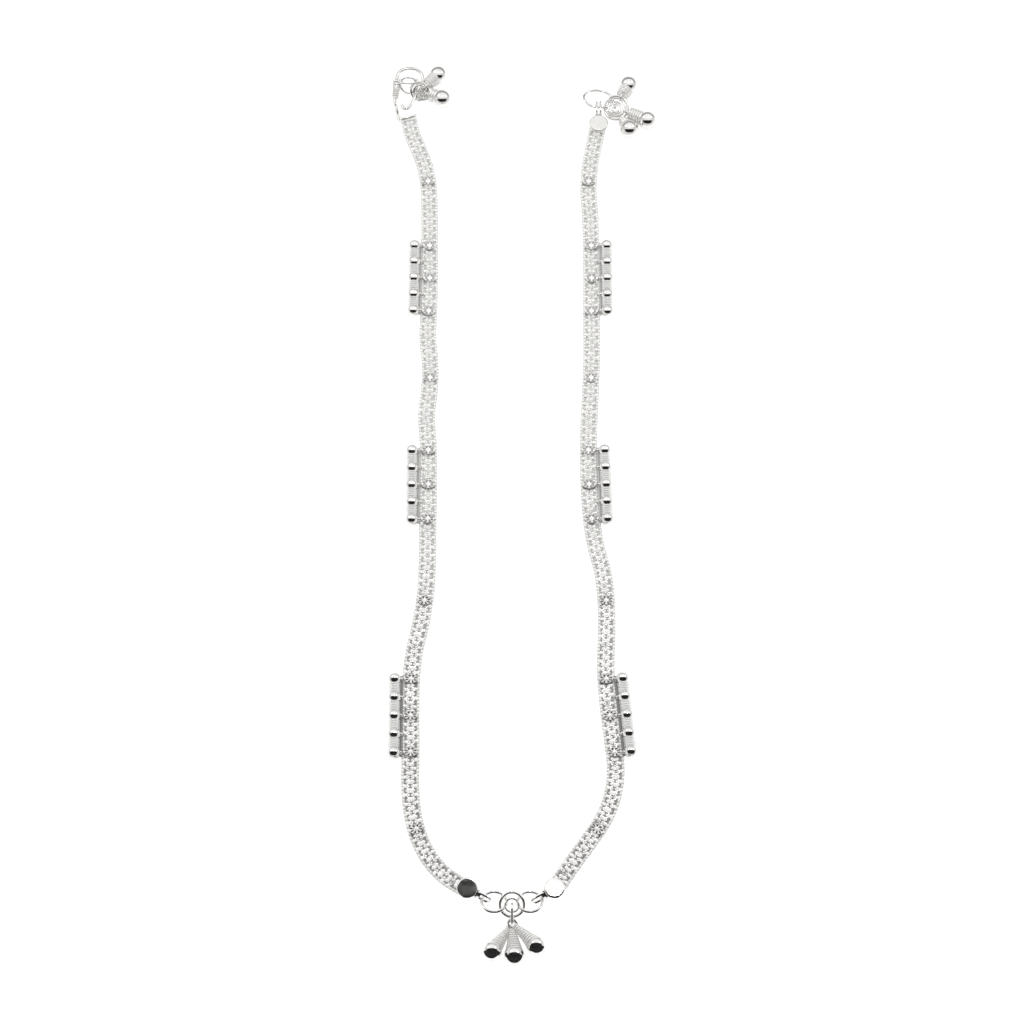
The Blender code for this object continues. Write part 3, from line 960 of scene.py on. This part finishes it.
ring_cluster("jump_rings_right", NESTED_RIGHT, BEADS_RIGHT)
ring_cluster("jump_ring_left", NESTED_LEFT, BEADS_LEFT)
print("solder beads:", len(BEADS_RIGHT) + len(BEADS_LEFT))

# %% [markdown]
# The three centre bells hang on a squarish link of wire that stands upright
# round the middle ring. A small ring soldered on its top run closes it.

# %% The link that carries the centre bells
LINK_WIRE = 0.4
LINK_SQUARENESS = 4.0
LINK_Y = (-61.85, -59.15)
LINK_Z = (0.2, 2.1)
SMALL_RING = (0, -59.5, 2.05)
SMALL_RING_RADIUS = 0.95
SMALL_RING_WIRE = 0.3


def upright_loop(middle, half_length, half_height):
    """Points of a loop that stands in the plane of Y and Z."""
    matrix = Matrix.Translation(middle) @ turn("Y", 90) @ turn("Z", 90)
    return oval(half_length, half_height, 20, LINK_SQUARENESS, matrix)


def drop_link():
    middle = at(0, sum(LINK_Y) / 2, sum(LINK_Z) / 2)
    half_length = (LINK_Y[1] - LINK_Y[0]) / 2
    half_height = (LINK_Z[1] - LINK_Z[0]) / 2
    loop = upright_loop(middle, half_length, half_height)
    loop = wire("drop_link_wire", loop, LINK_WIRE, True, 3)
    flat = Matrix.Translation(at(*SMALL_RING))
    small = oval(SMALL_RING_RADIUS, SMALL_RING_RADIUS, matrix=flat)
    small = wire("small", small, SMALL_RING_WIRE, True, 3)
    return dress(smooth(joined("drop_link_wire", [loop, small]), 180), polished)


link_of_drops = drop_link()
print("faces in the link:", len(link_of_drops.data.polygons))

# %% [markdown]
# A hanging bell is a hollow ball with a long tapering neck. The neck is wound
# with wire, turn upon turn, from the shoulders of the ball up to the loop that
# hangs it. The ball and the neck's core are lathe shapes, and each turn of the
# wire is a ring, set a little aslant. A neck's shape is three numbers: how wide
# it starts, as a share of the ball, its radius at the top, and how late it
# narrows. A wide neck is held between the floor and the level of its ball's
# top.

# %% A bell that hangs on a wire
DROP_WIRE = 0.3
LOOP_HALF_WIDTH = 0.52
LOOP_CLEARANCE = 0.17
LOOP_SQUARENESS = 2.6
NECK_WIRE_TURN = 0.36
NECK_SLANT = 4
NECK_SKIN = 0.22
NECK_FOOT_SKIN = 0.2
TURN_FILL = 0.47
NECK_FLOOR_GAP = 0.12
NECK_ROOF_GAP = 0.02
NECK_CAP = [(0, 0.3), (0.5, 0.22), (0.85, 0)]
NECK_TO_WIRE = 0.45
LOOP_IN_NECK = 0.35
CENTRE_NECK = (0.9, 0.42, 0.85)
CLASP_NECK = (0.8, 1.08, 1.6)


def ring_outline(radius, wire_radius, points=8):
    """A closed round outline of (radius, height), for one turn of wire about Z."""
    outline = []
    for number in range(points + 1):
        angle = math.tau * (number % points) / points
        outline.append((radius + wire_radius * math.cos(angle), wire_radius * math.sin(angle)))
    return outline


def wound_neck(radius, neck_end, shape, matrix):
    """A core from the shoulders of the ball, with a bright turn of wire over each step."""
    shoulder, neck_top, curve = shape
    wide = radius * shoulder
    low = math.sqrt(radius ** 2 - wide ** 2)
    turns = max(2, round((neck_end - low) / NECK_WIRE_TURN))
    step = (neck_end - low) / turns
    rise = matrix.col[2].z
    stations = []
    for number in range(turns):
        along = low + step * (number + 0.5)
        reach = wide + (neck_top - wide) * ((number + 0.5) / turns) ** curve
        axis_height = matrix.translation.z / MM + rise * along
        room = min(axis_height - NECK_FLOOR_GAP, 2 * radius - NECK_ROOF_GAP - axis_height)
        room /= math.sqrt(1 - rise ** 2)
        stations.append((min(reach, room), along))
    top = stations[-1][0] - NECK_SKIN
    core = [(top * out, neck_end + top * up) for out, up in NECK_CAP]
    core += [(reach - NECK_SKIN, along) for reach, along in reversed(stations)]
    core += [(wide - NECK_FOOT_SKIN, low), (0, low)]
    parts = [dress(turned("neck", core, 24, matrix), dull)]
    for reach, along in stations:
        slant = matrix @ Matrix.Translation((0, 0, along * MM)) @ turn("X", NECK_SLANT)
        loop = ring_outline(reach - step / 2, step * TURN_FILL)
        parts.append(dress(turned("turn", loop, 28, slant), frosted))
    return parts


def bell_drop(name, radius, ball, hang, wire_way, hung_wire, shape):
    """A bell whose loop passes round the wire it hangs on."""
    ball = at(*ball, radius)
    reach = (hang - ball).length / MM
    frame_here = frame_along(ball, hang - ball, wire_way)
    neck_end = reach - NECK_TO_WIRE
    parts = [dress(turned(name, arc(radius, 0, 0, 180, 26), 40, frame_here), polished)]
    parts += wound_neck(radius, neck_end, shape, frame_here)
    start = neck_end - LOOP_IN_NECK
    end = reach + hung_wire / 2 + LOOP_CLEARANCE + DROP_WIRE / 2
    flat = Matrix.Translation((0, 0, (start + end) / 2 * MM)) @ turn("Y", 90) @ turn("X", 90)
    loop = oval((end - start) / 2, LOOP_HALF_WIDTH, 14, LOOP_SQUARENESS, frame_here @ flat)
    parts.append(dress(wire("loop", loop, DROP_WIRE, True, 3), polished))
    return smooth(joined(name, parts), 50)


# node: piece, radius, middle of the ball, height of the hanging point
CENTRE_DROPS = {
    "centre_drop_left": ("left_hanging_bell", 1.4, (-2.78, -65.75), 0.74),
    "centre_drop_middle": ("middle_hanging_bell", 1.45, (0.33, -66.35), 1.15),
    "centre_drop_right": ("right_hanging_bell", 1.4, (3.34, -65.0), 1.58),
}
# node: piece, middle of the ball, ring that it hangs on, where on the ring
CLASP_DROPS = {
    "clasp_drop_right_upper": ("upper_clasp_bell_right", (18.4, 72.1), "jump_rings_right", 62),
    "clasp_drop_right_outer": ("outer_clasp_bell_right", (21.25, 65.7), "jump_rings_right", -27),
    "clasp_drop_right_lower": ("lower_clasp_bell_right", (18.4, 64.1), "jump_rings_right", -68),
    "clasp_drop_left_upper": ("upper_clasp_bell_left", (-11.7, 73.95), "jump_ring_left", 35),
    "clasp_drop_left_lower": ("lower_clasp_bell_left", (-11.0, 69.6), "jump_ring_left", -16),
}
CLASP_BELL = 1.5


def place_on_ring(node, degrees):
    """A place on a ring's wire and the way the wire runs there."""
    _, middle, half_sizes, axis, tilt = RINGS[node]
    matrix = leaning(middle, axis, tilt)
    angle = math.radians(degrees)
    half_x, half_y = half_sizes
    place_here = matrix @ (Vector((half_x * math.cos(angle), half_y * math.sin(angle), 0)) * MM)
    way = matrix.to_3x3() @ Vector((-half_x * math.sin(angle), half_y * math.cos(angle), 0))
    return place_here, way


drops = {}
for node, (name, radius, ball, height) in CENTRE_DROPS.items():
    hang = at(0, LINK_Y[0], height)
    drops[node] = bell_drop(name, radius, ball, hang, UP, LINK_WIRE, CENTRE_NECK)
for node, (name, ball, ring_node, degrees) in CLASP_DROPS.items():
    hang, way = place_on_ring(ring_node, degrees)
    drops[node] = bell_drop(name, CLASP_BELL, ball, hang, way, RING_WIRE, CLASP_NECK)
print("bells:", len(drops), "faces each:", len(drops["centre_drop_left"].data.polygons))

# %% [markdown]
# A round end plate covers the last links of each band. A block below it holds
# it to the band, and one or two flat wire bails in front of it take the ring.

# %% Round end plates
PLATE_RADIUS = 1.5
PLATE_THICKNESS = 0.4
PLATE_BASE = 1.3
STEM_HALF_WIDTH = 0.6
STEM_Y = (0.75, 1.7)
STEM_Z = (0.45, 1.5)
BAIL_START = 1.6
TONGUE = ((-0.42, 0.42), (0.9, 2.15), (1.05, 1.5))


def block(name, x, y, z, matrix, bevel=0.08):
    """A bevelled block between the low and high millimetre values of each pair."""
    deselect()
    bpy.ops.mesh.primitive_cube_add(size=MM)
    piece = bpy.context.object
    piece.name = name
    piece.scale = (x[1] - x[0], y[1] - y[0], z[1] - z[0])
    piece.location = Vector((sum(x) / 2, sum(y) / 2, sum(z) / 2)) * MM
    settle(piece)
    modify(piece, "BEVEL", width=bevel * MM, segments=2)
    return place(piece, matrix)


def plate_disc(name, matrix):
    """A flat disc with a softened rim, about its own Z axis."""
    half = PLATE_THICKNESS / 2
    outline = [
        (0, half), (1.2, half), (1.3, half), (1.36, half - 0.015), (1.45, half - 0.08),
        (PLATE_RADIUS, half - 0.18), (1.46, -half + 0.08), (1.36, -half), (0, -half),
    ]
    return turned(name, outline, 72, matrix)


def end_plate(
    name, centre, heading, bails, wire_size, lean, reach, height, half_height, disc_lean, finish
):
    """A disc on its block, with upright bails in front of it, facing its heading."""
    matrix = Matrix.Translation(at(*centre)) @ turn("Z", heading - 90)
    disc_place = Matrix.Translation(at(*centre, PLATE_BASE + PLATE_THICKNESS / 2))
    parts = [dress(plate_disc(name, disc_place @ turn("X", -disc_lean)), finish)]
    if len(bails) == 1:
        parts.append(dress(block("tongue", *TONGUE, matrix, 0.15), polished))
    stem = block("stem", (-STEM_HALF_WIDTH, STEM_HALF_WIDTH), STEM_Y, STEM_Z, matrix)
    parts.append(dress(stem, polished))
    half_length = (reach - BAIL_START) / 2
    for across in bails:
        middle = Matrix.Translation(Vector((across, BAIL_START + half_length, height)) * MM)
        upright = matrix @ middle @ turn("Y", lean) @ turn("Y", 90) @ turn("Z", 90)
        loop = oval(half_length, half_height, 16, LOOP_SQUARENESS, upright)
        parts.append(dress(wire("bail", loop, wire_size, True, 3), polished))
    return smooth(joined(name, parts), 30)


# piece, place, heading, bails' places across, bail's wire, lean, reach, height
# and half height, disc's lean, finish
END_PLATES = {
    "cap_left_centre": (
        "left_centre_plate", (-6.23, -56.9), -27.7, [0.0], 0.4, -21, 3.6, 0.78, 0.6, 0, polished,
    ),
    "cap_right_centre": (
        "right_centre_plate", (5.9, -56.95), 210.1, [0.0], 0.4, 21, 3.6, 0.78, 0.6, 6, polished,
    ),
    "cap_right_end": (
        "right_end_plate", (13.6, 65.2), 90, [-0.3, 0.3], 0.35, 0, 3.75, 1.62, 0.65, 0, satin,
    ),
}
plates = {node: end_plate(*facts) for node, facts in END_PLATES.items()}
print("end plates:", len(plates))

# %% [markdown]
# The plate at the left end stands on its edge. A tab joins it to the band, and
# a neck of thick wire runs from it to a sleeve on the hook.

# %% The end plate on its edge, with neck and sleeve
EDGE_PLATE = ((-18.13, 67.3), 105)
TAB = ((0, 3), (-1.12, -0.82), (0.1, 1.0))
NECK = [(-18.46, 68.5, 1.5), (-18.45, 69.6, 1.53), (-18.38, 70.7, 1.58), (-18.3, 71.7, 1.62)]
NECK_WIRE = 0.56
SLEEVE_CENTRE = (-18.3, 72.25, 0.95)
SLEEVE_RADIUS = 0.68
SLEEVE_HOLE = 0.43
SLEEVE_TURNS = 4
COIL_POINTS = 12
COIL_FILL = 0.98
SLEEVE_LENGTH = 1.9
NECK_WRAPS = 4
WRAP_RADIUS = 0.42
WRAP_WIRE_RADIUS = 0.2
WRAP_SPREAD = 1.4
WRAP_WAY = Vector((0.05, 1, 0.02))


def edge_plate():
    name = "left_edge_plate"
    centre, heading = EDGE_PLATE
    matrix = Matrix.Translation(at(*centre)) @ turn("Z", heading - 90)
    on_edge = Matrix.Translation((0, 0, PLATE_RADIUS * MM)) @ turn("Y", 90)
    parts = [dress(plate_disc(name, matrix @ on_edge), satin)]
    parts.append(block("tab", *TAB, matrix))
    parts.append(wire("neck", [at(*point) for point in NECK], NECK_WIRE, False, 3))
    along_hook = frame_along(at(*SLEEVE_CENTRE), Vector((0, 1, 0)), UP)
    coil_wire = SLEEVE_LENGTH / SLEEVE_TURNS
    middle = (SLEEVE_RADIUS + SLEEVE_HOLE) / 2
    for number in range(SLEEVE_TURNS):
        height = -SLEEVE_LENGTH / 2 + coil_wire * (number + 0.5)
        outline = []
        for step in range(COIL_POINTS):
            angle = math.tau * step / COIL_POINTS
            radius = middle + (SLEEVE_RADIUS - middle) * math.sin(angle)
            outline.append((radius, height + coil_wire / 2 * COIL_FILL * math.cos(angle)))
        outline.append(outline[0])
        parts.append(turned("coil", outline, 28, along_hook))
    for number in range(NECK_WRAPS):
        share = (number + 0.5) / NECK_WRAPS
        middle = at(*NECK[1]).lerp(at(*NECK[2]), share * WRAP_SPREAD)
        around = frame_along(middle, WRAP_WAY, UP)
        parts.append(turned("wrap", ring_outline(WRAP_RADIUS, WRAP_WIRE_RADIUS), 20, around))
    for part in parts[1:]:
        dress(part, polished)
    return smooth(joined(name, parts), 40)


plates["cap_left_end"] = edge_plate()
print("faces in the edge plate:", len(plates["cap_left_end"].data.polygons))

# %% [markdown]
# The hook is one thick wire bent into a pear-shaped loop, its end tucked in.

# %% The hook
HOOK_WIRE = 0.6
HOOK_HEIGHT = 0.95
HOOK_ROUTE = [
    (-18.3, 71.1), (-18.3, 72.2), (-18.3, 73.4), (-17.8, 74.9), (-16.3, 75.5), (-14.7, 75.0),
    (-14.1, 73.6), (-14.3, 72.2), (-15.0, 70.9), (-15.6, 69.6), (-16.1, 68.6), (-16.9, 68.2),
    (-17.4, 68.8),
]
hook = wire("hook_wire", [at(x, y, HOOK_HEIGHT) for x, y in HOOK_ROUTE], HOOK_WIRE, False, 4)
dress(smooth(hook, 60), polished)
print("faces in the hook:", len(hook.data.polygons))

# %% [markdown]
# Each dressed piece takes the place of one solid, and lies still with it.

# %% Hand the pieces over to the solid model
def hand_over(piece, node):
    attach(piece, "root")
    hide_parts(node)


hand_over(chain_left, "band_left")
hand_over(chain_right, "band_right")
bright_pieces = {
    **rows, **rings, **drops, **plates, "drop_link": link_of_drops, "clasp_hook": hook,
}
for node, piece in bright_pieces.items():
    hand_over(piece, node)
print("pieces dressed:", 2 + len(bright_pieces))

# %% [markdown]
# The jewel lies on a plain pale floor in a bright, soft room. What silver looks
# like is what it mirrors, so four cards that only reflections see give it its
# greys and blacks: a grey one for the table, a dark one overhead, as a person
# bending over the work would be, a low dark one that stands round the bells at
# the near end, and a low grey one across the far end.

# %% Floor and cards
FLOOR_SPAN = (-1.5, 1.5)
CARD_SPAN = (-0.3, 0.3)
TABLE_LIFT = 0.00001
OVERHEAD_Y = (-0.27, -0.007)
OVERHEAD_HEIGHT = 0.145


def reflection_only(piece):
    """Hides a card from everything but mirrored rays."""
    piece.visible_camera = False
    piece.visible_diffuse = False
    piece.visible_shadow = False
    return piece


def card(name, x, y, height, material, downward=False):
    """A level card between the low and high metre values of x and y."""
    deselect()
    bpy.ops.mesh.primitive_plane_add(size=1)
    piece = bpy.context.object
    piece.name = name
    piece.scale = (x[1] - x[0], y[1] - y[0], 1)
    piece.location = (sum(x) / 2, sum(y) / 2, height)
    settle(piece)
    if downward:
        piece.data.flip_normals()
    piece.data.materials.append(material)
    return piece


def matt(name, level):
    """A matt paper with a faint cloudiness."""
    surface = Surface(name, Roughness=1.0)
    surface.shader.inputs["Specular IOR Level"].default_value = 0.0
    tones = [(grey, grey, grey, 1) for grey in (level, min(1.0, level * 1.05))]
    surface.set("Base Color", surface.blend(surface.noise(40), *tones))
    return surface.material


floor = card("floor", FLOOR_SPAN, FLOOR_SPAN, 0, matt("pale_floor", 0.9))
floor.visible_glossy = False
table = card("grey_table_card", CARD_SPAN, CARD_SPAN, TABLE_LIFT, matt("grey_card", 0.7))
dark = matt("dark_card", 0.012)
overhead = card("dark_overhead_card", CARD_SPAN, OVERHEAD_Y, OVERHEAD_HEIGHT, dark, downward=True)
reflection_only(table)
reflection_only(overhead)


def round_card(name, centre, radius, height, half_turn, material):
    """A low card that stands in an arc on the near side of a place."""
    deselect()
    bpy.ops.mesh.primitive_cylinder_add(
        vertices=48, radius=radius, depth=height, end_fill_type="NOTHING",
        location=(centre.x, centre.y, height / 2),
    )
    piece = settle(bpy.context.object)
    piece.name = name

    def past_the_arc(face):
        out = face.center.xy - centre.xy
        return abs(math.degrees(math.atan2(out.x, -out.y))) > half_turn

    choose_faces(piece, past_the_arc)
    bpy.ops.mesh.delete(type="FACE")
    bpy.ops.object.mode_set(mode="OBJECT")
    piece.data.materials.append(material)
    return reflection_only(piece)


round_card(
    "dark_near_card", at(0.3, -64), radius=0.012, height=0.013, half_turn=85,
    material=matt("dark_paper", 0.02),
)


def far_card(half_width, y, height, material):
    """A low card that stands across the far end."""
    piece = card("grey_far_card", (-half_width, half_width), (y, y + height), 0, material)
    around = Matrix.Translation((0, y, 0))
    return reflection_only(place(piece, around @ turn("X", 90) @ around.inverted()))


far_card(half_width=0.12, y=0.1, height=0.026, material=matt("grey_paper", 0.3))
print("floor and cards stand")

# %% [markdown]
# The room itself is the main light, and a ball shows it whole. The far wall is
# grey, a white window stands above it and reaches overhead, and the near side
# is pale grey. Small lamps that only reflections see add sparkle, and one lamp
# that only matt things see lifts the floor to white.

# %% Room and lamps
# place in metres, width in metres, watts
LAMPS = {
    "floor_lamp": ((0.0, -0.02, 0.6), 0.5, 3.4),
    "high_lamp": ((0.02, 0.12, 0.5), 0.05, 0.12),
    "left_box": ((-0.3, 0.22, 0.34), 0.14, 0.12),
    "right_box": ((0.32, 0.18, 0.34), 0.14, 0.12),
}
for name, (place_m, size, watts) in LAMPS.items():
    deselect()
    bpy.ops.object.light_add(type="AREA", location=place_m)
    lamp = bpy.context.object
    lamp.name = name
    lamp.data.size = size
    lamp.data.energy = watts
    lamp.rotation_euler = Vector(place_m).to_track_quat("Z", "Y").to_euler()
    for_floor = name == "floor_lamp"
    lamp.data.use_shadow = not for_floor
    lamp.visible_glossy = not for_floor
    lamp.visible_diffuse = for_floor

# levels from the far horizon, over the zenith at 0.5, to the near horizon at 1
ROOM = [
    (0.0, 0.55), (0.1, 0.7), (0.18, 0.95), (0.36, 1.0), (0.52, 0.98), (0.64, 0.82),
    (0.8, 0.7), (1.0, 0.64),
]
SIDE_WALL = 0.7
SIDE_WALL_X = (0.35, 0.8)

world = bpy.data.worlds.new("bright_room")
bpy.context.scene.world = world
sky = Nodes(world)
direction = sky.node("ShaderNodeTexCoord", {}, {}).outputs["Generated"]
climb = sky.part(direction, "Z").sum("ABSOLUTE")
over = climb.sum("ARCTAN2", sky.part(direction, "Y")).sum("DIVIDE", math.pi)
walls = sky.node("ShaderNodeValToRGB", {}, {0: over})
while len(walls.color_ramp.elements) < len(ROOM):
    walls.color_ramp.elements.new(0.5)
for element, (position, level) in zip(walls.color_ramp.elements, ROOM):
    element.position = position
    element.color = (level, level, level, 1)
aside = sky.ramp(sky.part(direction, "X").sum("ABSOLUTE"), *SIDE_WALL_X)
side = (SIDE_WALL, SIDE_WALL, SIDE_WALL, 1)
background = sky.tree.nodes["Background"]
sky.feed(background.inputs["Color"], sky.blend(aside, walls.outputs[0], side))
background.inputs["Strength"].default_value = 1.0
bpy.context.scene.view_settings.view_transform = "Standard"
print("lamps:", len(LAMPS))
